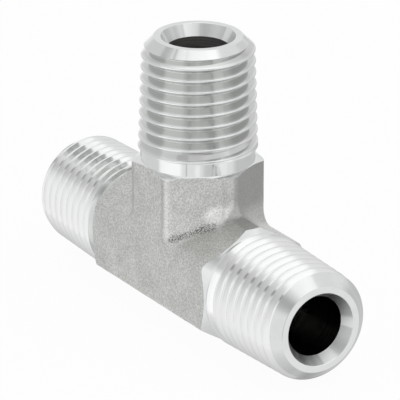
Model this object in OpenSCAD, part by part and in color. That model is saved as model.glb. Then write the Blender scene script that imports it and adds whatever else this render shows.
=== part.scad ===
// Forged pipe tee with three male ends, each cut with a tapered pipe thread.
// The run lies along X, the branch points up along Z, and their axes cross at the origin.
// The forging keeps its blasted skin; the necks, threads and end faces are turned bright.

/* [Legs] */
// From the crossing to each end face of the run
run_reach = 26.9; // [26:0.1:40]
// From the crossing to the end face of the branch
branch_reach = 27.3; // [27:0.1:40]
// Length turned round at each end of the run, from its end face to the forging
run_turned = 14.2; // [13.6:0.1:15]
// Length turned round on the branch, from its end face to the forging
branch_turned = 15; // [13.6:0.1:15.6]

/* [Forged arms] */
// Across the front and rear flats, and across each pair of slanting flats
across_flats = 13.8; // [13.6:0.1:15]
// Across the trimmed corners, where the two halves of the forging die met
across_corners = 14.8; // [14.4:0.1:15.4]
// Rounding of the long edges of the arms
edge_radius = 0.8; // [0.3:0.1:1.2]
// Fillet between the branch and the run
crotch_radius = 1.8; // [1:0.1:2.4]
// Slope of the turned chamfer on the ends of the arms, from the plane of the cut
arm_chamfer_angle = 25; // [15:1:35]

/* [Tapered thread] */
// Outside diameter of the thread at the end face
thread_d = 13.25; // [12.8:0.05:13.3]
// Advance of the thread in one turn: 18 turns in an inch of 25.4
thread_pitch = 1.411; // [1.2:0.001:1.6]
// Growth of the diameter along the thread: 1 in 16
thread_taper = 0.0625; // [0.03:0.0005:0.07]
// Angle between the two flanks of the thread
flank_angle = 60; // [55:1:60]
// Width of the flat on the thread's crest
crest_flat = 0.1; // [0.05:0.01:0.2]
// Width of the flat at the thread's root
root_flat = 0.08; // [0.05:0.01:0.2]
// From the end face to the last ridge, where the neck begins
thread_length = 13.4; // [12:0.1:13.4]
// Length over which the last groove fades out
thread_runout = 1.6; // [1:0.1:3]
// Where round its axis the thread's ridge crosses the plane where the neck begins
thread_start = 279; // [0:1:359]

/* [Necks, mouths and passage] */
// Diameter of the plain neck between the thread and the forging
neck_d = 13.5; // [13.3:0.05:13.6]
// Outside diameter of the flat ring on each end face
end_face_d = 10.4; // [10:0.1:11]
// Slope of the lead-in from the end face to the first ridge, from the axis
lead_in_angle = 45; // [30:1:55]
// Diameter of the passage through the run and the branch
bore_d = 7.2; // [5:0.1:8]
// Diameter of the countersink at each mouth
countersink_d = 8.8; // [8.4:0.1:9.6]
// Angle between opposite sides of the countersink
countersink_angle = 60; // [45:1:90]

/* [Smoothness] */
// Segments round the turned surfaces
round_segments = 96; // [48:8:160]
// Segments in one turn of the thread
thread_segments = 48; // [24:8:64]
// Segments in the crotch fillet
fillet_segments = 6; // [3:1:12]

/* [Hidden] */

forged_grey = [0.70, 0.70, 0.68];
turned_bright = [0.88, 0.89, 0.90];

// What a cutting tool sticks out past the face that it cuts
overcut = 1;

// Half sizes of an arm: to its flats, and to its trimmed corners
flat_half = across_flats / 2;
corner_half = across_corners / 2;

// Planes where the turned ends meet the forging
run_shoulder = run_reach - run_turned;
branch_shoulder = branch_reach - branch_turned;

// Thread sizes that follow from the ones above
thread_depth = (thread_pitch - crest_flat - root_flat) / 2 / tan(flank_angle / 2);
thread_d_big = thread_d + thread_length * thread_taper;
countersink_depth = (countersink_d - bore_d) / 2 / tan(countersink_angle / 2);

// ---- Forging ----

// Quarter of an arm's cross-section, as [half width, depth], from the edge of the front flat
// to the trimmed corner: one arc turns through 60 degrees and the next through the last 30
hex_turn = 60;
arc_step = 15;
corner_depth = (flat_half - corner_half * sin(hex_turn)) / cos(hex_turn);
edge_centre = [(flat_half - edge_radius) * tan(hex_turn / 2), -(flat_half - edge_radius)];
corner_centre = [corner_half - edge_radius, -(corner_depth - edge_radius * tan((90 - hex_turn) / 2))];
function arc_point(centre, turn) = centre + edge_radius * [sin(turn), -cos(turn)];
function mirrored(points, x, y) = [
    for (i = [len(points) - 1 : -1 : 0]) [points[i][0] * x, points[i][1] * y]
];
front_quarter = concat(
    [for (turn = [0 : arc_step : hex_turn]) arc_point(edge_centre, turn)],
    [for (turn = [hex_turn : arc_step : 90]) arc_point(corner_centre, turn)]
);
right_half = concat(front_quarter, mirrored(front_quarter, 1, -1));

// A hexagonal arm with rounded edges, standing on Z
module arm(height) {
    linear_extrude(height = height)
        polygon(concat(right_half, mirrored(right_half, -1, 1)));
}

// Fillet that fills the crease between two flats. Both flats lie at flat_distance from the
// crossing, and their normals are n_branch and n_run; the bar runs along their crease.
function unit(v) = v / norm(v);
module crease_bar(n_branch, n_run, flat_distance) {
    along = unit(cross(n_run, n_branch));
    outward = unit(n_branch + n_run);
    across = cross(along, outward);
    half_turn = acos(n_branch * n_run) / 2;
    crease_distance = flat_distance / cos(half_turn);
    centre_distance = crotch_radius / cos(half_turn);
    frame = [
        [outward[0], across[0], along[0], 0],
        [outward[1], across[1], along[1], 0],
        [outward[2], across[2], along[2], 0],
        [0, 0, 0, 1]
    ];
    multmatrix(frame)
        translate([crease_distance, 0, 0])
            linear_extrude(height = 4 * across_flats, center = true)
                polygon(concat([[-crotch_radius, 0]], [
                    for (i = [0 : fillet_segments])
                        let (turn = 180 + half_turn * (2 * i / fillet_segments - 1))
                        [centre_distance + crotch_radius * cos(turn), crotch_radius * sin(turn)]
                ]));
}

// Keeps only what lies between two depths behind the front flat's side of the tee
module between_depths(from, to) {
    intersection() {
        children();
        translate([0, from, 0]) cube([across_flats, to - from, across_flats]);
    }
}

// Fillets of the crotch on the right: one in each slanting crease, and one between the corners
fillet_inset = edge_radius * (1 - cos(hex_turn / 2));
module crotch_fillet() {
    for (side = [-1, 1])
        on_side(side)
            between_depths(-flat_half + fillet_inset, -corner_depth)
                crease_bar(
                    [sin(hex_turn), -cos(hex_turn), 0], [0, -cos(hex_turn), sin(hex_turn)], flat_half
                );
    between_depths(-corner_depth, corner_depth)
        crease_bar([1, 0, 0], [0, 0, 1], corner_half);
}

// The given side of the tee: as drawn for the front, or mirrored to the rear
module on_side(side) {
    if (side < 0) children();
    else mirror([0, 1, 0]) children();
}

// The forging before it is machined
module forged_blank() {
    arm(branch_shoulder + overcut);
    for (side = [-1, 1])
        rotate([0, side * 90, 0]) arm(run_shoulder + overcut);
    crotch_fillet();
    mirror([1, 0, 0]) crotch_fillet();
}

// What turning removes from the end of an arm, measured from its shoulder along +Z:
// all that lies past the shoulder, and the corners behind a shallow cone round the neck
module shoulder_cutter() {
    cutter_r = corner_half + overcut * 2;
    rotate_extrude($fn = round_segments)
        polygon([
            [0, 0],
            [neck_d / 2, 0],
            [cutter_r, -(cutter_r - neck_d / 2) * tan(arm_chamfer_angle)],
            [cutter_r, overcut * 2],
            [0, overcut * 2]
        ]);
}

module forged_body() {
    color(forged_grey)
        difference() {
            forged_blank();
            translate([0, 0, branch_shoulder]) shoulder_cutter();
            for (side = [-1, 1])
                rotate([0, side * 90, 0]) translate([0, 0, run_shoulder]) shoulder_cutter();
            rotate([0, 90, 0])
                cylinder(h = 2 * run_reach, d = bore_d, center = true, $fn = round_segments);
            cylinder(h = branch_reach, d = bore_d, $fn = round_segments);
        }
}

// ---- Turned and threaded ends ----

// Points of the thread's profile along one pitch, as shares of the pitch: foot of the lower
// flank, both edges of the crest, and head of the upper flank. The root flat follows.
crest_share = crest_flat / thread_pitch;
root_share = root_flat / thread_pitch;
flank_share = (1 - crest_share - root_share) / 2;
profile_shares = [0, flank_share, flank_share + crest_share, 1 - root_share];
profile_is_root = [true, false, false, true];

// Radius at a height above the last ridge's plane
function crest_r(z) = thread_d_big / 2 - z * thread_taper / 2;
function groove_depth(z) = thread_depth * min(1, max(0, z / thread_runout));

// The thread runs more than one turn past both ends, and the blank's shape cuts it off
spare_turns = 2;
thread_turns = ceil(thread_length / thread_pitch) + 2 * spare_turns;
thread_columns = thread_turns * thread_segments;
thread_foot = -(spare_turns + flank_share + crest_share / 2) * thread_pitch;

function thread_point(column, i) =
    let (
        turn = 360 * column / thread_segments,
        z = thread_foot + thread_pitch * (column / thread_segments + profile_shares[i]),
        r = crest_r(z) - (profile_is_root[i] ? groove_depth(z) : 0)
    )
    [r * cos(turn), r * sin(turn), z];

// A solid screw: strips along the crest, flanks and root, closed by a fan and a step at each end
module screw_solid() {
    last = thread_columns;
    foot_centre = 4 * (last + 1);
    head_centre = foot_centre + 1;
    function id(column, i) = 4 * column + i;
    function strip(a, b, c, d) = [[a, b, c], [a, c, d]];
    polyhedron(
        points = concat(
            [for (column = [0 : last]) for (i = [0 : 3]) thread_point(column, i)],
            [[0, 0, thread_foot], [0, 0, thread_point(last, 3)[2]]]
        ),
        faces = concat(
            [
                for (column = [0 : last - 1]) for (i = [0 : 2])
                    each strip(id(column, i), id(column, i + 1), id(column + 1, i + 1), id(column + 1, i))
            ],
            [
                for (column = [0 : last - thread_segments - 1])
                    let (above = column + thread_segments)
                    each strip(id(column, 3), id(above, 0), id(above + 1, 0), id(column + 1, 3))
            ],
            [for (column = [0 : thread_segments - 1]) [foot_centre, id(column, 0), id(column + 1, 0)]],
            [
                for (column = [last - thread_segments : last - 1])
                    [head_centre, id(column + 1, 3), id(column, 3)]
            ],
            [[foot_centre, id(thread_segments, 0), id(0, 3), id(0, 2), id(0, 1), id(0, 0)]],
            [[head_centre, id(last - thread_segments, 3), id(last, 0), id(last, 1), id(last, 2), id(last, 3)]]
        ),
        convexity = 10
    );
}

// Round blank of the thread: flat at the last ridge's plane, with a lead-in cone to the end face
module thread_envelope() {
    envelope_r = thread_d_big / 2 + overcut;
    rotate_extrude($fn = round_segments)
        polygon([
            [0, 0],
            [envelope_r, 0],
            [envelope_r, thread_length - (envelope_r - end_face_d / 2) / tan(lead_in_angle)],
            [end_face_d / 2, thread_length],
            [0, thread_length]
        ]);
}

// A male end along +Z whose end face is at the given reach from the crossing
module male_end(reach, turned, start) {
    color(turned_bright)
        difference() {
            union() {
                translate([0, 0, reach - turned])
                    cylinder(h = turned - thread_length, d = neck_d, $fn = round_segments);
                translate([0, 0, reach - thread_length])
                    intersection() {
                        rotate([0, 0, start]) screw_solid();
                        thread_envelope();
                    }
            }
            cylinder(h = reach + overcut, d = bore_d, $fn = round_segments);
            translate([0, 0, reach - countersink_depth])
                cylinder(h = countersink_depth, d1 = bore_d, d2 = countersink_d, $fn = round_segments);
        }
}

module branch_male_end() {
    male_end(branch_reach, branch_turned, thread_start);
}

module right_male_end() {
    rotate([0, 90, 0]) male_end(run_reach, run_turned, thread_start);
}

module left_male_end() {
    rotate([0, -90, 0]) male_end(run_reach, run_turned, thread_start);
}

forged_body();
branch_male_end();
right_male_end();
left_male_end();
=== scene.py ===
# %% [markdown]
# # A forged pipe tee with three threaded ends
# The real fitting is one piece of steel. It is forged hot between two dies, blasted clean, and
# then its three ends are turned on a lathe, threaded and drilled. The forged middle stays grey
# and grainy, and everything the lathe has touched is bright. The CAD frame gives every size
# and place, so this script only has to make the surfaces look as the real ones do.

# %% Load the CAD frame
import math
from collections import Counter

import bpy
from mathutils import Matrix, Vector


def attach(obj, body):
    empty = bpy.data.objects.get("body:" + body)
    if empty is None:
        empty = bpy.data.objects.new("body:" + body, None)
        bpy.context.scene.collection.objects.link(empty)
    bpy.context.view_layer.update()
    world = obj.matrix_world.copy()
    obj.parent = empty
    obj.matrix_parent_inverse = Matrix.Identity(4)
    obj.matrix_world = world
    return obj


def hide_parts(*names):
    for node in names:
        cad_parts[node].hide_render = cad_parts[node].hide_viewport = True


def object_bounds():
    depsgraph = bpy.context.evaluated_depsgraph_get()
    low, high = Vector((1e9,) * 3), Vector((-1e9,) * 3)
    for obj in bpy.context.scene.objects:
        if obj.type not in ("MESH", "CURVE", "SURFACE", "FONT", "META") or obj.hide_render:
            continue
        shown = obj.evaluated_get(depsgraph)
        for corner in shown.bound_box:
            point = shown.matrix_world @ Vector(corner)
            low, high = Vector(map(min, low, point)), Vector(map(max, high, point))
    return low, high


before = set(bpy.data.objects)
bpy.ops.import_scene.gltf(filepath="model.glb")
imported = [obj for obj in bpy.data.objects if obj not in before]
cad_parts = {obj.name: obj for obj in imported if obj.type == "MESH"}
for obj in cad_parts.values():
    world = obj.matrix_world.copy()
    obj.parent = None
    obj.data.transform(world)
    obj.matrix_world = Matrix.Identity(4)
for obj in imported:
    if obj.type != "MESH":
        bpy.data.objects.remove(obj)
cad_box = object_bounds()
MM = 0.001
print("CAD nodes:", sorted(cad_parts))
print("CAD box in mm:", [[round(value / MM, 2) for value in corner] for corner in cad_box])

# %% [markdown]
# ## Sizes
# The sizes repeat the CAD model's, in millimetres. The run lies along X, the branch points up
# along Z, and their axes cross at the origin. Reach is the distance from the origin to an end
# face, and a shoulder is the plane where the forging stops and the turned neck begins. Each
# threaded end is measured from its last ridge, where the thread stops and the neck begins.

# %% Sizes of the tee in millimetres
RUN_REACH, BRANCH_REACH = 26.9, 27.3
RUN_SHOULDER, BRANCH_SHOULDER = 12.7, 12.3
FLAT_HALF, CORNER_HALF = 6.9, 7.4
NECK_R, BORE_R, COUNTERSINK_R, END_FACE_R = 6.75, 3.6, 4.4, 5.2
THREAD_LENGTH, PITCH = 13.4, 1.411
# How fast the radius falls towards the mouth: the thread tapers by 1 in 16 on its diameter
TAPER = 1 / 32
# A hundredth less than the CAD's last ridge, so that this model stays inside the CAD's box
LAST_RIDGE_R = 7.034
print("turns of thread on each end:", round(THREAD_LENGTH / PITCH, 1))

# %% [markdown]
# ## Choosing parts of a piece
# Blender's operators work on whatever is selected and active, as they do for someone at the
# screen. A script could reach past them into the mesh, but then the steps no longer look like
# those of a modeller. These helpers make one piece active and select its points, edges or
# faces by a rule about where they are.

# %% Helpers that select
def only(piece):
    """Makes one object the only selected one, and the active one."""
    bpy.ops.object.select_all(action="DESELECT")
    piece.select_set(True)
    bpy.context.view_layer.objects.active = piece


def choose(piece, kind, rule):
    """Goes into edit mode with the vertices, edges or faces selected that follow a rule."""
    only(piece)
    bpy.ops.object.mode_set(mode="EDIT")
    bpy.ops.mesh.select_mode(type=kind)
    bpy.ops.mesh.select_all(action="DESELECT")
    bpy.ops.object.mode_set(mode="OBJECT")
    mesh = piece.data
    parts = {"VERT": mesh.vertices, "EDGE": mesh.edges, "FACE": mesh.polygons}[kind]
    for part in parts:
        part.select = rule(mesh, part)
    chosen = sum(part.select for part in parts)
    bpy.ops.object.mode_set(mode="EDIT")
    return chosen


def leave():
    """Goes back to object mode."""
    bpy.ops.object.mode_set(mode="OBJECT")


# %% [markdown]
# ## Shaping tools
# A modifier is a recipe that can be changed until it is applied. Each one here is applied at
# once, because the next step picks out edges or faces that the modifier has made. Booleans
# use the exact solver, which copes with faces that meet at grazing angles.

# %% Helpers that shape, clean and measure
def apply_modifier(piece, kind, **settings):
    """Adds a modifier to a piece and applies it at once."""
    only(piece)
    modifier = piece.modifiers.new(kind.lower(), kind)
    for setting, value in settings.items():
        setattr(modifier, setting, value)
    bpy.ops.object.modifier_apply(modifier=modifier.name)


def combine(piece, operation, tool):
    """Joins a tool to a piece, cuts it away or keeps what both share, and deletes the tool."""
    apply_modifier(piece, "BOOLEAN", operation=operation, object=tool, solver="EXACT",
                   material_mode="TRANSFER")
    bpy.data.objects.remove(tool)


def clean(piece, gap=0.0005):
    """Merges points closer than the gap in mm, and turns all faces outward."""
    only(piece)
    bpy.ops.object.mode_set(mode="EDIT")
    bpy.ops.mesh.select_mode(type="VERT")
    bpy.ops.mesh.select_all(action="SELECT")
    bpy.ops.mesh.remove_doubles(threshold=gap * MM)
    bpy.ops.mesh.normals_make_consistent(inside=False)
    leave()


def cut_across(piece, point, outward, fill):
    """Cuts a piece with a plane, and removes what lies on the outward side."""
    choose(piece, "FACE", lambda mesh, face: True)
    bpy.ops.mesh.bisect(plane_co=[value * MM for value in point], plane_no=outward,
                        use_fill=fill, clear_outer=True, threshold=1e-7)
    leave()


def report(piece):
    """Prints how many faces and open edges a piece has, and its box in millimetres."""
    faces_at = Counter(key for face in piece.data.polygons for key in face.edge_keys)
    open_edges = sum(count != 2 for count in faces_at.values())
    low = [round(min(v.co[i] for v in piece.data.vertices) / MM, 2) for i in range(3)]
    high = [round(max(v.co[i] for v in piece.data.vertices) / MM, 2) for i in range(3)]
    print(f"{piece.name}: {len(piece.data.polygons)} faces, {open_edges} open edges, {low} to {high} mm")


# %% [markdown]
# ## Wires for the shaders
# Shader maths reads best as arithmetic. This class stands for one output of a node, and an
# expression such as `1 - mask * 0.5` adds the Math nodes that it needs. Every other kind of
# node comes from `make`, which takes the node's settings first and then its inputs.

# %% One small class for shader maths
class Wire:
    """One output of a shader node; arithmetic on it adds Math nodes."""

    def __init__(self, tree, socket):
        self.tree = tree
        self.socket = socket

    @staticmethod
    def make(tree, kind, settings=None, inputs=None, output=0):
        """A node of any kind; a setting named stops fills a ramp with (place, colour) pairs."""
        node = tree.nodes.new(kind)
        for name, value in (settings or {}).items():
            if name == "stops":
                node.color_ramp.elements.remove(node.color_ramp.elements[1])
                node.color_ramp.elements[0].position = value[0][0]
                node.color_ramp.elements[0].color = value[0][1]
                for place, colour in value[1:]:
                    node.color_ramp.elements.new(place).color = colour
            else:
                setattr(node, name, value)
        for name, value in (inputs or {}).items():
            if isinstance(value, Wire):
                tree.links.new(value.socket, node.inputs[name])
            else:
                node.inputs[name].default_value = value
        return Wire(tree, node.outputs[output]) if node.outputs else None

    def maths(self, operation, *others):
        inputs = dict(enumerate((self,) + others))
        return Wire.make(self.tree, "ShaderNodeMath", {"operation": operation}, inputs)

    def turned_round(self, operation, other):
        """The same sum with this wire in the second place, as for 1 - wire."""
        inputs = {0: other, 1: self}
        return Wire.make(self.tree, "ShaderNodeMath", {"operation": operation}, inputs)

    def __add__(self, other):
        return self.maths("ADD", other)

    def __sub__(self, other):
        return self.maths("SUBTRACT", other)

    def __mul__(self, other):
        return self.maths("MULTIPLY", other)

    def __truediv__(self, other):
        return self.maths("DIVIDE", other)

    def __rsub__(self, other):
        return self.turned_round("SUBTRACT", other)

    def __rtruediv__(self, other):
        return self.turned_round("DIVIDE", other)

    __radd__ = __add__
    __rmul__ = __mul__

    def between(self, low, high):
        """0 below low, 1 above high, and a soft step from one to the other."""
        return Wire.make(
            self.tree, "ShaderNodeMapRange", {"interpolation_type": "SMOOTHSTEP"},
            {"Value": self, "From Min": low, "From Max": high},
        )

    def other_outputs(self):
        """All outputs of the node that this wire comes from."""
        return [Wire(self.tree, socket) for socket in self.socket.node.outputs]


def new_material(name):
    """An empty material, with its node tree and a wire with Object coordinates in mm."""
    material = bpy.data.materials.new(name)
    material.use_nodes = True
    tree = material.node_tree
    tree.nodes.clear()
    place = Wire.make(tree, "ShaderNodeTexCoord", output="Object")
    in_mm = Wire.make(tree, "ShaderNodeVectorMath", {"operation": "SCALE"}, {0: place, "Scale": 1 / MM})
    return material, tree, in_mm


def split(vector):
    """The x, y and z of a vector wire, each as a wire of its own."""
    return Wire.make(vector.tree, "ShaderNodeSeparateXYZ", inputs={0: vector}).other_outputs()


def mix_colours(factor, first, second):
    """A colour that goes from the first to the second as the factor goes from 0 to 1."""
    return Wire.make(
        factor.tree, "ShaderNodeMix", {"data_type": "RGBA"}, {0: factor, 6: first, 7: second}, output=2
    )


# %% [markdown]
# ## Marks of the forging die, and painted light and shade
# The real skin isn't even. A rough dark streak runs along the crease in the front right of
# the crotch. Next to it a bright patch is a painted highlight, where the metal is also made
# smoother. A faint dark line beside the front flat's edges is painted shade, and the slanting
# flats at the branch's rear are painted darker, as shade. An image could be painted for these,
# but it would need seams and a resolution. Each mark here is a mask instead, a number from 0
# to 1 worked out from the distance to a line, a point or a plane, in millimetres.

# %% Masks for the streak, the painted highlight, the painted shade by the edges and the painted shade on the rear flats
CREASE_FROM, CREASE_TO = Vector((7.45, -2.7, 6.5)), Vector((4.7, -6.35, 4.75))
PATCH_CENTRE = (7.1, -2.0, 7.5)
EDGE_LINE_X = 3.35
SLANT = math.radians(30)


def crease_streak(place, clouds):
    """Pitting within about half a millimetre of the crease, with a ragged border."""
    tree = place.tree
    along_crease = CREASE_TO - CREASE_FROM
    reach = Wire.make(tree, "ShaderNodeVectorMath", {"operation": "SUBTRACT"},
                      {0: place, 1: tuple(CREASE_FROM)})
    share = Wire.make(tree, "ShaderNodeVectorMath", {"operation": "DOT_PRODUCT"},
                      {0: reach, 1: tuple(along_crease / along_crease.length_squared)}, output="Value")
    foot = Wire.make(tree, "ShaderNodeVectorMath", {"operation": "SCALE"}, {
        0: tuple(along_crease), "Scale": share.maths("MAXIMUM", 0.0).maths("MINIMUM", 1.0)})
    distance = Wire.make(tree, "ShaderNodeVectorMath", {"operation": "DISTANCE"},
                         {0: reach, 1: foot}, output="Value")
    raggedness = clouds.between(0.35, 0.65) * 0.25
    streak = 1 - (distance + raggedness).between(0.25, 0.85)
    pits = Wire.make(tree, "ShaderNodeTexNoise", inputs={
        "Vector": place, "Scale": 7.5, "Detail": 2.0, "Roughness": 0.7})
    return streak * pits.between(0.46, 0.60)


def painted_highlight_patch(place, grain):
    """Painted highlight on the tops of the grain, above the streak's upper end."""
    distance = Wire.make(place.tree, "ShaderNodeVectorMath", {"operation": "DISTANCE"},
                         {0: place, 1: PATCH_CENTRE}, output="Value")
    return (1 - distance.between(0.4, 1.8)) * grain.between(0.3, 0.5)


def painted_edge_shade(x, y, z):
    """A mask for painted shade: a thin line on the branch's front flat, beside each of its long edges.
    """
    distance = (x.maths("ABSOLUTE") - EDGE_LINE_X).maths("ABSOLUTE")
    on_front, above_run = (0 - y).between(6.3, 6.6), z.between(5.0, 6.5)
    return (1 - distance.between(0.12, 0.42)) * on_front * above_run


def painted_shade_on_slants(x, y, z):
    """The branch's rear slanting flats, which are painted darker, as shade."""
    across_slant = x.maths("ABSOLUTE") * math.cos(SLANT) + y * math.sin(SLANT)
    return across_slant.between(6.45, 6.75) * z.between(6.0, 8.0)


print("length of the streak:", round((CREASE_TO - CREASE_FROM).length, 1), "mm")

# %% [markdown]
# ## Blasted forging skin
# The forging is shot-blasted, which covers it with tiny overlapping dents. They scatter the
# light, so the metal looks matt grey with a fine speckle. The speckle is a noise of about a
# fifth of a millimetre, with larger, fainter clouds where the blasting was uneven. Real dents
# would need millions of faces, so a bump stands for them. The marks above are laid over this
# skin one after another, and the pits come last because they are deepest.

# %% The forging's material
# The third colour here is a painted highlight, for the bright patch by the crease
SKIN_DARK, SKIN_PALE, PAINTED_HIGHLIGHT = (0.54, 0.545, 0.525, 1), (0.88, 0.885, 0.86, 1), (1.0, 1.0, 0.99, 1)
# The first grey here is painted shade by the front flat's edges, and the second is painted shade on the
# rear slanting flats
EDGE_SHADE_GREY, SLANT_SHADE_GREY, PIT_BLACK = (0.40, 0.40, 0.39, 1), (0.38, 0.38, 0.37, 1), (0.06, 0.06, 0.055, 1)


def forged_steel():
    material, tree, place = new_material("forged_steel")
    x, y, z = split(place)
    grain = Wire.make(tree, "ShaderNodeTexNoise", inputs={
        "Vector": place, "Scale": 5.2, "Detail": 3.0, "Roughness": 0.65})
    dents = Wire.make(tree, "ShaderNodeTexVoronoi", inputs={"Vector": place, "Scale": 3.1})
    clouds = Wire.make(tree, "ShaderNodeTexNoise", inputs={
        "Vector": place, "Scale": 0.32, "Detail": 2.0})
    pitting = crease_streak(place, clouds)
    patch = painted_highlight_patch(place, grain)

    tone = grain.between(0.36, 0.66) * 0.8 + clouds.between(0.3, 0.7) * 0.2
    colour = mix_colours(tone, SKIN_DARK, SKIN_PALE)
    # Painted highlight: the bright patch by the crease, where the metal is also smoother
    colour = mix_colours(patch, colour, PAINTED_HIGHLIGHT)
    # Painted shade: a faint dark line beside the front flat's edges
    colour = mix_colours(painted_edge_shade(x, y, z) * 0.45, colour, EDGE_SHADE_GREY)
    # Painted shade: the branch's rear slanting flats are made darker
    colour = mix_colours(painted_shade_on_slants(x, y, z) * 0.65, colour, SLANT_SHADE_GREY)
    colour = mix_colours(pitting, colour, PIT_BLACK)

    bump = Wire.make(tree, "ShaderNodeBump", inputs={
        "Strength": 0.55, "Distance": 0.05 * MM, "Height": grain * 0.7 + dents * 0.5 - pitting * 2.2})
    roughness = 0.34 + grain * 0.16 + pitting * 0.2 - patch * 0.14
    metal = Wire.make(tree, "ShaderNodeBsdfPrincipled", inputs={
        "Base Color": colour, "Metallic": 1.0, "Roughness": roughness, "Normal": bump})
    Wire.make(tree, "ShaderNodeOutputMaterial", inputs={"Surface": metal})
    return material


forged_skin = forged_steel()
print("material:", forged_skin.name)

# %% [markdown]
# ## Turned steel
# A lathe leaves fine rings round its axis, and they decide how turned metal shines. The rings
# depend on two numbers only, the place along the axis and the distance from it, so a noise
# that reads those two draws rings on necks, threads, cones and flat end faces alike. The
# grooves of the thread were cut by another tool and are a little rougher than the crests. A
# mask by depth gives them their own tone, which is painted light on the run, lighter than the
# crests, and painted shade on the branch, darker than the crests.

# %% The turned surfaces' material, for an axis along X or Z
def turned_steel(name, axis, painted_groove_tone):
    material, tree, place = new_material(name)
    x, y, z = split(place)
    along, side, reach = (x, z, RUN_REACH) if axis == "X" else (z, x, BRANCH_REACH)
    radius = (side * side + y * y).maths("SQRT")

    # How deep a point lies below the crests tells the grooves from the rest, away from the
    # plain neck and the lead-in cone
    past = along.maths("ABSOLUTE") - (reach - THREAD_LENGTH)
    depth = LAST_RIDGE_R - past * TAPER - radius
    off_cone = (END_FACE_R + THREAD_LENGTH - past - radius).between(0.02, 0.10)
    groove = depth.between(0.03, 0.38) * off_cone * past.between(0, 0.1) * radius.between(5.2, 5.4)
    rings = Wire.make(tree, "ShaderNodeCombineXYZ", inputs={0: along * 9.0, 1: radius * 9.0})
    feed = Wire.make(tree, "ShaderNodeTexNoise", inputs={"Vector": rings, "Scale": 1.0, "Detail": 2.0})
    smears = Wire.make(tree, "ShaderNodeTexNoise", inputs={"Vector": place, "Scale": 0.5, "Detail": 3.0})
    bump = Wire.make(tree, "ShaderNodeBump", inputs={
        "Strength": 0.25, "Distance": 0.006 * MM, "Height": feed})
    clean_steel = mix_colours(smears.between(0.3, 0.7), (0.84, 0.85, 0.85, 1), (0.88, 0.89, 0.89, 1))
    # Painted light and shade: the grooves' own tone, lighter than the crests on the run and darker on
    # the branch
    colour = mix_colours(groove, clean_steel, painted_groove_tone)
    roughness = 0.04 + feed * 0.05 + smears * 0.04 + groove * 0.03
    metal = Wire.make(tree, "ShaderNodeBsdfPrincipled", inputs={
        "Base Color": colour, "Metallic": 1.0, "Roughness": roughness, "Normal": bump})
    Wire.make(tree, "ShaderNodeOutputMaterial", inputs={"Surface": metal})
    return material


# The last argument is the grooves' painted tone: painted light on the run, painted shade on the branch
turned_x = turned_steel("turned_steel_x", "X", (0.92, 0.93, 0.92, 1))
turned_z = turned_steel("turned_steel_z", "Z", (0.68, 0.69, 0.68, 1))
print("materials:", turned_x.name, turned_z.name)

# %% [markdown]
# ## Drilled passage
# The passage is drilled, not polished. Light that goes in hardly comes out, so it looks almost
# black from outside, and its wall is given a dark colour as painted shade for that. The drill
# left the branch's wall rougher than the run's: it picks up some light at the mouth.

# %% The passage's material
def drilled_wall(name, axis, dullness):
    material, tree, place = new_material(name)
    x, y, z = split(place)
    along = x if axis == "X" else z
    lines = Wire.make(tree, "ShaderNodeCombineXYZ", inputs={0: along * 5.0, 1: y * 0.15, 2: 0.5})
    marks = Wire.make(tree, "ShaderNodeTexNoise", inputs={"Vector": lines, "Scale": 1.0, "Detail": 3.0})
    bump = Wire.make(tree, "ShaderNodeBump", inputs={
        "Strength": 0.4, "Distance": 0.03 * MM, "Height": marks})
    # Painted shade: the wall's colour is far darker than the turned steel, for the shade deep in the
    # passage
    colour = mix_colours(marks.between(0.3, 0.7), (0.30, 0.30, 0.29, 1), (0.46, 0.46, 0.45, 1))
    metal = Wire.make(tree, "ShaderNodeBsdfPrincipled", inputs={
        "Base Color": colour, "Metallic": 1.0, "Roughness": dullness + marks * 0.1, "Normal": bump})
    Wire.make(tree, "ShaderNodeOutputMaterial", inputs={"Surface": metal})
    return material


drilled_x = drilled_wall("drilled_wall_x", "X", 0.12)
drilled_z = drilled_wall("drilled_wall_z", "Z", 0.38)
print("materials:", drilled_x.name, drilled_z.name)

# %% [markdown]
# ## Countersunk mouths
# A countersink chatters as it cuts, so its cone is rougher than the lathe's faces, and the
# chatter shows as fans that run from the bore to the end face. The fans are a bump, and in the
# colour they are pale and dark as painted reflections. The fans follow the angle round
# the axis only, so a noise is read on a circle: at the direction of a point, not its place.

# %% The countersinks' material
def countersunk(name, axis):
    material, tree, place = new_material(name)
    x, y, z = split(place)
    side = z if axis == "X" else x
    radius = (side * side + y * y).maths("SQRT")
    compass = Wire.make(tree, "ShaderNodeCombineXYZ", inputs={0: side / radius, 1: y / radius})
    fans = Wire.make(tree, "ShaderNodeTexNoise", inputs={
        "Vector": compass, "Scale": 1.8, "Detail": 2.0, "Roughness": 0.6})
    bump = Wire.make(tree, "ShaderNodeBump", inputs={
        "Strength": 0.2, "Distance": 0.05 * MM, "Height": fans})
    # Painted reflection: pale and dark fans in the colour
    colour = mix_colours(fans.between(0.44, 0.56), (0.66, 0.67, 0.67, 1), (0.93, 0.94, 0.94, 1))
    metal = Wire.make(tree, "ShaderNodeBsdfPrincipled", inputs={
        "Base Color": colour, "Metallic": 1.0, "Roughness": 0.34 + fans * 0.08, "Normal": bump})
    Wire.make(tree, "ShaderNodeOutputMaterial", inputs={"Surface": metal})
    return material


countersunk_x = countersunk("countersunk_x", "X")
countersunk_z = countersunk("countersunk_z", "Z")
print("materials:", countersunk_x.name, countersunk_z.name)

# %% [markdown]
# ## Turned shapes
# A turned shape is a stack of rings. One way is to spin a profile; the other, used here, is
# to start from a filled circle, extrude its face along the axis and scale it, ring after
# ring, which always leaves a closed solid.

# %% A helper that stacks rings into a turned solid
ROUND_SEGMENTS = 128
print("one segment of a turned piece:", 360 / ROUND_SEGMENTS, "degrees")


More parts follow.
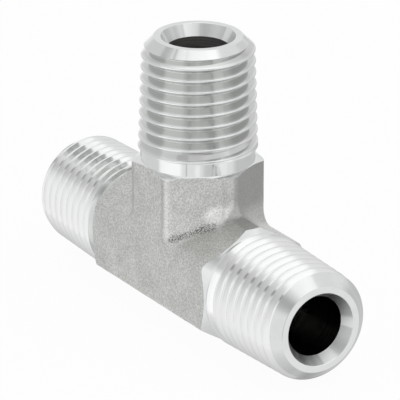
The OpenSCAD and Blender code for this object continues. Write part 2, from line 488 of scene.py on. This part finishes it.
def turned(name, rings, material):
    """A solid round Z that goes through rings given as (radius, height) in mm."""
    radius, height = rings[0]
    bpy.ops.object.select_all(action="DESELECT")
    bpy.ops.mesh.primitive_circle_add(
        vertices=ROUND_SEGMENTS, radius=radius * MM, fill_type="NGON", location=(0, 0, height * MM))
    piece = bpy.context.object
    piece.name = name
    bpy.ops.object.transform_apply(location=True, rotation=True, scale=True)
    bpy.ops.object.mode_set(mode="EDIT")
    bpy.ops.mesh.select_mode(type="FACE")
    bpy.ops.mesh.select_all(action="SELECT")
    for next_radius, next_height in rings[1:]:
        bpy.ops.mesh.extrude_region_move(
            TRANSFORM_OT_translate={"value": (0, 0, (next_height - height) * MM)})
        bpy.ops.transform.resize(
            value=(next_radius / radius, next_radius / radius, 1),
            center_override=(0, 0, next_height * MM))
        radius, height = next_radius, next_height
    leave()
    clean(piece)
    piece.data.materials.append(material)
    return piece


# %% [markdown]
# ## The forging
# The forging is two hexagonal bars that cross as a tee, with the corners where the dies met
# trimmed flat. They could be extruded from a hexagon drawn point by point; a cylinder with
# six sides is quicker, and two cuts trim its corners. Both bars start a little too long, and
# the lathe's cuts below take them to length.

# %% A hexagonal arm with its die corners trimmed
def hexagonal_arm(name, foot, head):
    """An arm along Z between two heights in mm, with flats to the front and rear."""
    bpy.ops.object.select_all(action="DESELECT")
    bpy.ops.mesh.primitive_cylinder_add(
        vertices=6, radius=FLAT_HALF / math.cos(math.radians(30)) * MM, depth=(head - foot) * MM,
        location=(0, 0, (head + foot) / 2 * MM), rotation=(0, 0, math.radians(30)))
    arm = bpy.context.object
    arm.name = name
    bpy.ops.object.transform_apply(location=True, rotation=True, scale=True)
    for side in (-1, 1):
        cut_across(arm, (side * CORNER_HALF, 0, 0), (side, 0, 0), True)
    clean(arm)
    return arm


SPARE = 0.6
forging = hexagonal_arm("forging", -RUN_SHOULDER - SPARE, RUN_SHOULDER + SPARE)
forging.rotation_euler = (0, math.radians(90), 0)
only(forging)
bpy.ops.object.transform_apply(location=True, rotation=True, scale=True)
branch_arm = hexagonal_arm("branch_arm", 0, BRANCH_SHOULDER + SPARE)
combine(forging, "UNION", branch_arm)
clean(forging)
report(forging)

# %% [markdown]
# ## Fillets and rounded edges
# Metal can't fill a sharp corner of a die, and a die can't have one either. So the creases
# where the arms meet become fillets, and the edges of the front and rear flats are rounded.
# Faces that lie in one plane are merged first, so that each bevel finds one clean edge.

# %% Fillets in the crotch, and rounded long edges
CREASE_BEVEL, EDGE_BEVEL = 1.5, 0.7


def at_crease(mesh, edge):
    points = [mesh.vertices[i].co / MM for i in edge.vertices]
    return all(abs(abs(point.x) - point.z) < 0.01 and point.z > 2 for point in points)


def at_flat_edge(mesh, edge):
    points = [mesh.vertices[i].co / MM for i in edge.vertices]
    on_flat = all(abs(abs(point.y) - FLAT_HALF) < 0.01 for point in points)
    on_end = all(abs(point.x) > RUN_SHOULDER + 0.1 for point in points) or all(
        point.z > BRANCH_SHOULDER + 0.1 for point in points)
    return on_flat and not on_end


choose(forging, "FACE", lambda mesh, face: True)
bpy.ops.mesh.dissolve_limited(angle_limit=math.radians(1))
leave()
print("crease edges:", choose(forging, "EDGE", at_crease))
bpy.ops.mesh.bevel(offset=CREASE_BEVEL * MM, segments=6, affect="EDGES")
leave()
print("edges of the front and rear flats:", choose(forging, "EDGE", at_flat_edge))
bpy.ops.mesh.bevel(offset=EDGE_BEVEL * MM, segments=4, affect="EDGES")
leave()
report(forging)

# %% [markdown]
# ## Soft forged surface
# A forging is nowhere quite flat. Rebuilding the surface as small even faces and smoothing
# it softens every corner alike, and a gentle cloud pattern then sinks it by less than a
# tenth of a millimetre. It only ever sinks, so the piece stays inside its nominal size.

# %% Remeshing, smoothing and a faint undulation
VOXEL, UNDULATION_SIZE, UNDULATION_DEPTH = 0.17, 3.5, 0.07
forging.data.remesh_voxel_size = VOXEL * MM
only(forging)
bpy.ops.object.voxel_remesh()
apply_modifier(forging, "SMOOTH", factor=0.5, iterations=3)
undulation = bpy.data.textures.new("undulation", "CLOUDS")
undulation.noise_scale = UNDULATION_SIZE * MM
apply_modifier(forging, "DISPLACE", texture=undulation, texture_coords="LOCAL",
               strength=UNDULATION_DEPTH * MM, mid_level=1.0)
forging.data.materials.clear()
forging.data.materials.append(forged_skin)
report(forging)

# %% [markdown]
# ## Machining the forging
# The lathe cuts each arm square and leaves a shallow cone on its corners, which is why the
# bright edge looks like a row of arches. The cone is steeper on the run than on the branch.
# Then the passage is drilled. Each cutter carries its own material, and the boolean hands it
# to the faces that the cutter leaves behind, so nothing has to be selected by hand.

# %% Shoulder cuts and the drilled passage
BRANCH_SLOPE, RUN_SLOPE = 25, 35
CLEAR = 2
SHARP_ANGLE = math.radians(18)


def shoulder_cutter(name, shoulder, slope, material):
    """Cuts away all that lies past a shoulder, and a shallow cone round the neck."""
    outer = CORNER_HALF + CLEAR
    drop = (outer - NECK_R) * math.tan(math.radians(slope))
    rings = [(NECK_R, shoulder), (outer, shoulder - drop), (outer, shoulder + SPARE + CLEAR)]
    return turned(name, rings, material)


def lay_along_x(piece, side):
    """Turns a piece that was made along Z to point along +X or -X."""
    only(piece)
    piece.rotation_euler = (0, side * math.radians(90), 0)
    bpy.ops.object.transform_apply(location=True, rotation=True, scale=True)


cutter = shoulder_cutter("branch_cutter", BRANCH_SHOULDER, BRANCH_SLOPE, turned_z)
combine(forging, "DIFFERENCE", cutter)
for side in (-1, 1):
    cutter = shoulder_cutter("run_cutter", RUN_SHOULDER, RUN_SLOPE, turned_x)
    lay_along_x(cutter, side)
    combine(forging, "DIFFERENCE", cutter)
# The branch's drill ends just above the run's axis, so that its tip isn't level with any edge
drill = turned("branch_drill", [(BORE_R, 0.02), (BORE_R, BRANCH_REACH)], drilled_z)
combine(forging, "DIFFERENCE", drill)
drill = turned("run_drill", [(BORE_R, -RUN_REACH), (BORE_R, RUN_REACH)], drilled_x)
lay_along_x(drill, 1)
combine(forging, "DIFFERENCE", drill)
clean(forging)
only(forging)
bpy.ops.object.shade_smooth_by_angle(angle=SHARP_ANGLE)
report(forging)
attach(forging, "root")
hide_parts("forged_body")

# %% [markdown]
# ## The threaded end
# The thread is a tapered pipe thread: a groove with sides at 60 degrees to each other that
# climbs 1.411 mm in a turn. A bump texture could fake it, but the ridges show in the outline,
# so they are modelled. This cell draws the profile over one turn by extruding a single
# point. The tips of a real thread are slightly rounded by the tool, and they are here too.

# %% The thread's profile over one pitch
CREST_R, ROOT_R = 0.14, 0.07
THREAD_DEPTH = PITCH / 2 / math.tan(math.radians(30)) - CREST_R - ROOT_R
SCREW_STEPS = 96
# Height of the first ridge above the last-ridge plane, on the side where the profile is drawn
FIRST_CREST = 0.318


def arc(centre_r, centre_z, radius, start, stop, steps):
    """Points of an arc; the angles are those of its outward normal above the radial line."""
    angles = [math.radians(start + (stop - start) * i / steps) for i in range(steps + 1)]
    return [(centre_r + radius * math.cos(a), centre_z + radius * math.sin(a)) for a in angles]


def on_the_way(start, end, shares):
    """Points on the straight line between two points, at shares of its length."""
    return [tuple(a + (b - a) * share for a, b in zip(start, end)) for share in shares]


def thread_profile(foot):
    """The profile from root to root, as (radius, height) in mm, starting at a height.

    Each flank gets a point close to either end, so that smooth shading leaves the flank flat.
    """
    root_centre = LAST_RIDGE_R - THREAD_DEPTH + ROOT_R
    crest_centre = LAST_RIDGE_R - CREST_R
    low_root = arc(root_centre, foot, -ROOT_R, 0, -60, 4)
    crest = arc(crest_centre, foot + PITCH / 2, CREST_R, -60, 60, 8)
    high_root = arc(root_centre, foot + PITCH, -ROOT_R, 60, 0, 4)
    near_ends = (0.04, 0.96)
    return (low_root + on_the_way(low_root[-1], crest[0], near_ends) + crest
            + on_the_way(crest[-1], high_root[0], near_ends) + high_root)


def drawn(name, points):
    """A line drawn from a single point, extruded from one (radius, height) to the next."""
    radius, height = points[0]
    bpy.ops.object.select_all(action="DESELECT")
    bpy.ops.mesh.primitive_plane_add(size=1 * MM, location=(radius * MM, 0, height * MM))
    line = bpy.context.object
    line.name = name
    bpy.ops.object.transform_apply(location=True, rotation=True, scale=True)
    bpy.ops.object.mode_set(mode="EDIT")
    bpy.ops.mesh.select_mode(type="VERT")
    bpy.ops.mesh.select_all(action="SELECT")
    bpy.ops.mesh.merge(type="CENTER")
    for next_radius, next_height in points[1:]:
        bpy.ops.mesh.extrude_region_move(TRANSFORM_OT_translate={
            "value": ((next_radius - radius) * MM, 0, (next_height - height) * MM)})
        radius, height = next_radius, next_height
    leave()
    return line


# %% [markdown]
# ## Winding the thread
# The Screw modifier winds the profile round the axis and lifts it by one pitch in a turn.
# A taper modifier then makes it slimmer towards the mouth. Two flat cuts close it, one just
# above the last ridge and one past the mouth, and leave a solid that booleans can work on.

# %% Winding, tapering and closing the thread
OVERSHOOT = 1.0
FOOT_CUT = 0.03


def height_of(piece):
    """How tall a piece is, in mm."""
    heights = [vertex.co.z for vertex in piece.data.vertices]
    return (max(heights) - min(heights)) / MM


first_foot = FIRST_CREST - 2.5 * PITCH
turns = math.ceil((THREAD_LENGTH + OVERSHOOT - first_foot) / PITCH) + 2
threaded_end = drawn("threaded_end", thread_profile(first_foot))
apply_modifier(threaded_end, "SCREW", axis="Z", angle=math.radians(360), screw_offset=PITCH * MM,
               iterations=turns, steps=SCREW_STEPS, render_steps=SCREW_STEPS)
clean(threaded_end)
report(threaded_end)
apply_modifier(threaded_end, "SIMPLE_DEFORM", deform_method="TAPER", deform_axis="Z",
               factor=-height_of(threaded_end) * TAPER / LAST_RIDGE_R)
cut_across(threaded_end, (0, 0, FOOT_CUT), (0, 0, -1), True)
cut_across(threaded_end, (0, 0, THREAD_LENGTH + OVERSHOOT), (0, 0, 1), True)
clean(threaded_end)
threaded_end.data.materials.append(turned_z)
report(threaded_end)

# %% [markdown]
# ## Neck, run-out, lead-in and mouth
# Where the thread stops, its groove fades out over a short cone, and the plain neck follows.
# At the mouth the lathe turns a lead-in cone, a flat end face and a countersink. The neck and
# run-out are one turned core that is joined on; the other forms are cut with turned tools.

# %% Joining the neck and cutting the mouth
BRANCH_NECK = BRANCH_REACH - THREAD_LENGTH - BRANCH_SHOULDER
RUN_NECK = RUN_REACH - THREAD_LENGTH - RUN_SHOULDER
RUN_OUT = 1.6
core = turned("core", [
    (NECK_R, -BRANCH_NECK), (NECK_R, 0), (LAST_RIDGE_R, 0),
    (LAST_RIDGE_R - THREAD_DEPTH - RUN_OUT * TAPER, RUN_OUT), (BORE_R + 1, 2 * RUN_OUT)], turned_z)
combine(threaded_end, "UNION", core)
widest = LAST_RIDGE_R + CLEAR
envelope = turned("envelope", [
    (widest, -BRANCH_NECK - 1), (widest, THREAD_LENGTH - widest + END_FACE_R),
    (END_FACE_R, THREAD_LENGTH)], turned_z)
combine(threaded_end, "INTERSECT", envelope)
sink_depth = (COUNTERSINK_R - BORE_R) / math.tan(math.radians(30))
drill = turned("mouth_drill", [
    (BORE_R, -BRANCH_NECK - 1), (BORE_R, THREAD_LENGTH - sink_depth),
    (COUNTERSINK_R + (COUNTERSINK_R - BORE_R), THREAD_LENGTH + sink_depth)], countersunk_z)
combine(threaded_end, "DIFFERENCE", drill)
clean(threaded_end)
report(threaded_end)

# %% [markdown]
# ## Broken edges and the passage's wall
# A machinist breaks every sharp edge with a touch of a file, here a bevel of a few
# hundredths, which catches the light as a thin bright line round the end face. The wall of
# the passage gets the drilled material, whose dark colour is painted shade: its faces are
# picked out by their distance from the axis.

# %% Broken edges of the end face, and the dark wall of the passage
BROKEN_EDGE = 0.04


def on_end_face(mesh, edge):
    return all(abs(mesh.vertices[i].co.z / MM - THREAD_LENGTH) < 0.001 for i in edge.vertices)


print("edges of the end face:", choose(threaded_end, "EDGE", on_end_face))
bpy.ops.mesh.bevel(offset=BROKEN_EDGE * MM, segments=1, affect="EDGES")
leave()
threaded_end.data.materials.append(drilled_z)


def in_passage(mesh, face):
    centre = face.center / MM
    return math.hypot(centre.x, centre.y) < BORE_R + 0.001 and abs(face.normal.z) < 0.1


print("faces of the passage:", choose(threaded_end, "FACE", in_passage))
threaded_end.active_material_index = len(threaded_end.data.materials) - 1
bpy.ops.object.material_slot_assign()
leave()

# %% [markdown]
# ## Three ends from one
# The three ends are cut with the same tools, so one is modelled and copied. The run's necks
# are 0.8 mm shorter, which a single cut across the copy takes care of. A thread starts
# wherever the lathe happened to begin, so the left end is turned a little round its axis.
# Each copy gets its own mesh and the materials whose rings follow its own axis.

# %% Copying and placing the ends
LEFT_TURN = 29


def place_end(name, node, turn, side):
    """A copy of the threaded end: on the branch for side 0, else on that side of the run."""
    end = threaded_end.copy()
    end.data = threaded_end.data.copy()
    end.name = name
    bpy.context.scene.collection.objects.link(end)
    only(end)
    end.rotation_euler = (0, 0, math.radians(turn))
    bpy.ops.object.transform_apply(location=True, rotation=True, scale=True)
    if side:
        cut_across(end, (0, 0, -RUN_NECK), (0, 0, -1), False)
        choose(end, "EDGE", lambda mesh, edge: all(
            abs(mesh.vertices[i].co.z / MM + RUN_NECK) < 0.001 for i in edge.vertices))
        bpy.ops.mesh.bridge_edge_loops()
        leave()
        end.location = (side * (RUN_REACH - THREAD_LENGTH) * MM, 0, 0)
        end.rotation_euler = (0, side * math.radians(90), 0)
        swap = {turned_z: turned_x, drilled_z: drilled_x, countersunk_z: countersunk_x}
        for slot in end.material_slots:
            slot.material = swap[slot.material]
    else:
        end.location = (0, 0, (BRANCH_REACH - THREAD_LENGTH) * MM)
    only(end)
    bpy.ops.object.transform_apply(location=True, rotation=True, scale=True)
    bpy.ops.object.shade_smooth_by_angle(angle=SHARP_ANGLE)
    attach(end, "root")
    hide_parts(node)
    report(end)


place_end("branch_end", "branch_male_end", 0, 0)
place_end("right_end", "right_male_end", 0, 1)
place_end("left_end", "left_male_end", LEFT_TURN, -1)
bpy.data.objects.remove(threaded_end)

# %% [markdown]
# ## Floor
# The floor is a plain pale sheet, just under the lowest corner of the forging. It takes the
# soft shadow. To the camera it is nearly plain white, which a second shader adds for camera
# and mirror rays only, so no lamp has to be brighter for it. Its glossy visibility is off, so
# the metal reflects the tent round it instead.

# %% Floor
FLOOR_SIZE = 6
bpy.ops.object.select_all(action="DESELECT")
bpy.ops.mesh.primitive_plane_add(size=FLOOR_SIZE, location=(0, 0, cad_box[0].z))
floor = bpy.context.object
floor.name = "floor"
floor.visible_glossy = False
paper, tree, place = new_material("pale_paper")
flecks = Wire.make(tree, "ShaderNodeTexNoise", inputs={"Vector": place, "Scale": 0.8, "Detail": 2.0})
sheet = Wire.make(tree, "ShaderNodeBsdfDiffuse", inputs={
    "Color": mix_colours(flecks, (0.93, 0.93, 0.93, 1), (0.95, 0.95, 0.95, 1))})
rays = Wire.make(tree, "ShaderNodeLightPath")
seen = sum(ray for ray in rays.other_outputs()
           if ray.socket.name in ("Is Camera Ray", "Is Glossy Ray", "Is Transmission Ray"))
white = Wire.make(tree, "ShaderNodeEmission", inputs={"Color": (1, 1, 1, 1), "Strength": 1.0})
paper_look = Wire.make(tree, "ShaderNodeMixShader", inputs={0: seen * 0.95, 1: sheet, 2: white})
Wire.make(tree, "ShaderNodeOutputMaterial", inputs={"Surface": paper_look})
floor.data.materials.append(paper)
print("floor at", round(cad_box[0].z / MM, 2), "mm")

# %% [markdown]
# ## Light tent
# Bright metal shows what surrounds it, so it is photographed in a tent of white cloth. Lamps
# alone would leave it black with a few hot spots. The tent here is a large sphere that glows
# and that the camera can't see. Its tone goes by height, dim below and white above, and soft
# panels in some directions are brighter or darker: a window on the left, a reflector on the
# right, and the dark camera in its opening. Two thin seams of the cloth draw the dark lines
# down the branch. They lean, so each is made of three short pieces.

# %% The tent, with its panels by direction
TENT_R = 1.5
TONE_BY_HEIGHT = [
    (-90, 0.54), (-60, 0.67), (-40, 0.84), (0, 0.81), (40, 0.78), (55, 0.80), (65, 0.98), (75, 1.10),
]
# Each panel is its direction (round from +X towards +Y, and up), half its width and height,
# its soft edge, all in degrees, and how much brighter or darker it is than the cloth round it
PANELS = {
    "window": (-90, -2, 20, 30, 10, 0.24),
    "camera": (-34, 31, 7, 5, 14, -0.34),
    "photographer": (-66, 47, 11, 17, 5, -0.20),
    "reflector": (22, 29, 15, 3, 12, 0.28),
    "card": (-32, -12, 3, 23, 3, 0.12),
    "gap on the right": (102, 24, 7, 14, 12, -0.12),
    "slot on the left": (-100, 51, 10, 4, 5, -0.45),
    "stand": (-9, 1, 4, 18, 14, -0.24),
    "shaded cloth, left": (-146, 11, 29, 32, 12, -0.12),
    "shaded cloth, high": (-129, 58, 5, 14, 10, -0.18),
    "shaded cloth, right": (94, -34, 38, 30, 20, -0.24),
    "lamp": (10, 58, 26, 3, 12, 0.20),
    "table edge": (18, -27, 8, 3, 6, 0.20),
    "bounce at the back": (149, -8, 12, 10, 10, 0.20),
    "left seam, top": (-54.2, -21.3, 0.7, 1.5, 0.8, -0.40),
    "right seam, top": (-0.9, -21.3, 0.8, 1.5, 0.9, -0.60),
    "left seam, middle": (-54.0, -34.5, 0.7, 1.2, 0.8, -0.60),
    "right seam, middle": (2.4, -32.4, 0.8, 1.2, 0.8, -0.60),
    "left seam, foot": (-49.6, -38, 0.7, 2, 0.8, -0.60),
    "right seam, foot": (-0.9, -36, 0.8, 2, 0.8, -0.60),
}

bpy.ops.object.select_all(action="DESELECT")
bpy.ops.mesh.primitive_uv_sphere_add(segments=64, ring_count=32, radius=TENT_R)
tent = bpy.context.object
tent.name = "light_tent"
tent.visible_camera = False
cloth, tree, place = new_material("tent_cloth")
x, y, z = split(place)
level_distance = (x * x + y * y).maths("SQRT")
bearing = y.maths("ARCTAN2", x) * math.degrees(1)
height = z.maths("ARCTAN2", level_distance) * math.degrees(1)
stops = [((degrees + 90) / 180, (level, level, level, 1)) for degrees, level in TONE_BY_HEIGHT]
tone = Wire.make(tree, "ShaderNodeValToRGB", {"stops": stops}, {"Fac": (height + 90) / 180})
for round_it, up_it, half_width, half_height, soft, change in PANELS.values():
    aside = (bearing - round_it).maths("WRAP", 180, -180).maths("ABSOLUTE")
    above = (height - up_it).maths("ABSOLUTE")
    across = 1 - aside.between(half_width, half_width + soft)
    upright = 1 - above.between(half_height, half_height + soft)
    tone = tone + across * upright * change
glow = Wire.make(tree, "ShaderNodeEmission", inputs={"Color": tone, "Strength": 1.0})
Wire.make(tree, "ShaderNodeOutputMaterial", inputs={"Surface": glow})
tent.data.materials.append(cloth)
print("panels in the tent:", len(PANELS))

# %% [markdown]
# ## World and view
# The world is plain white, which only shows past the floor's edge. The Standard view shows
# colours as they are written, without the film curve that Blender would otherwise add.

# %% World and view
world = bpy.data.worlds.new("studio")
world.use_nodes = True
bpy.context.scene.world = world
world.node_tree.nodes["Background"].inputs["Color"].default_value = (1, 1, 1, 1)
world.node_tree.nodes["Background"].inputs["Strength"].default_value = 1.0
bpy.context.scene.view_settings.view_transform = "Standard"
print("view transform:", bpy.context.scene.view_settings.view_transform)

# %% [markdown]
# ## Camera
# The camera stands where the photographer's did. Its place was found by matching the edges
# of the fitting: it looks down by 21 degrees from the right of the front, through a long
# lens from a little over 60 cm away, so near and far ends look almost the same size.

# %% Camera
# The distance is in mm, as is how far the camera is moved to its right and up, past the line
# that runs from the origin
AZIMUTH, ELEVATION, ROLL = math.radians(58.503), math.radians(21.340), math.radians(0.181)
DISTANCE, ASIDE, RAISED = 634.56, 0.285, 6.370
PIXELS_PER_MM, FRAME_PIXELS, SENSOR = 8.5057, 400, 36

right = Vector((math.cos(AZIMUTH), math.sin(AZIMUTH), 0))
back = Vector((math.sin(AZIMUTH) * math.cos(ELEVATION), -math.cos(AZIMUTH) * math.cos(ELEVATION),
               math.sin(ELEVATION)))
up = back.cross(right)
rolled_right = math.cos(ROLL) * right + math.sin(ROLL) * up
rolled_up = math.cos(ROLL) * up - math.sin(ROLL) * right
lens = bpy.data.cameras.new("lens")
lens.sensor_width = SENSOR
lens.lens = PIXELS_PER_MM * DISTANCE * SENSOR / FRAME_PIXELS
lens.clip_end = 20
camera = bpy.data.objects.new("camera", lens)
bpy.context.scene.collection.objects.link(camera)
camera.matrix_world = Matrix((rolled_right, rolled_up, back)).transposed().to_4x4()
camera.location = (rolled_right * ASIDE + rolled_up * RAISED + back * DISTANCE) * MM
bpy.context.scene.camera = camera
print("lens:", round(lens.lens, 1), "mm")
